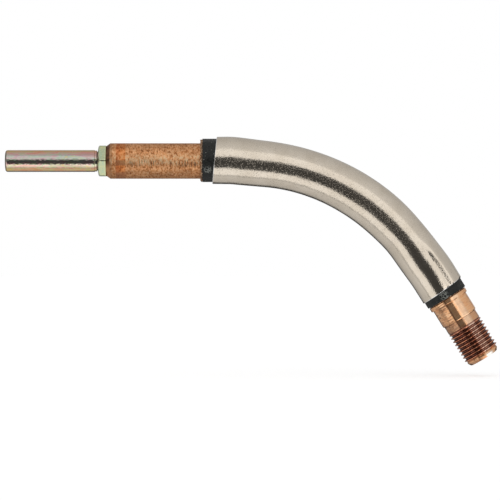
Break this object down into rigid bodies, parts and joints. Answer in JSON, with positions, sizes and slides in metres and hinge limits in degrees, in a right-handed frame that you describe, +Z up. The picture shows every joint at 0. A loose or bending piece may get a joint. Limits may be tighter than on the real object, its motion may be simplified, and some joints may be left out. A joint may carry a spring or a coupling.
{
  "type": "welding torch neck",
  "caption": "Bent welding torch neck: insulated copper conductor in a plated steel jacket, with a clamping barrel and liner guide behind and a threaded copper head in front.",
  "frame": {"origin": "middle of the rear barrel's clamping land, on the barrel's axis", "axes": "+X along the barrel's axis towards the head, +Z up, the neck bends down towards -Z in the XZ plane, +Y sideways"},
  "size_m": [0.1869, 0.0176, 0.0866],
  "materials": {
    "zinc_steel": "yellow iridescent zinc passivate over turned steel",
    "seal_rubber": "matt",
    "barrel_copper": "rubbed and tarnished copper",
    "braze_metal": "dull silver braze",
    "conductor_copper": "drawn copper",
    "glass_fibre": "varnished brown fibre",
    "black_insulation": "matt black, slightly crazed",
    "nickel_plate": "bright warm nickel plate",
    "head_copper": "turned bright copper with darkened thread"
  },
  "bodies": {
    "root": {"liner_guide": "zinc_steel", "guide_o_ring": "seal_rubber", "rear_connector": "barrel_copper", "rear_braze_ring": "braze_metal", "conductor_tube": "conductor_copper", "fibre_wrap": "glass_fibre", "insulating_sleeve": "black_insulation", "jacket": "nickel_plate", "front_braze_ring": "braze_metal", "head": "head_copper"}
  },
  "joints": []
}
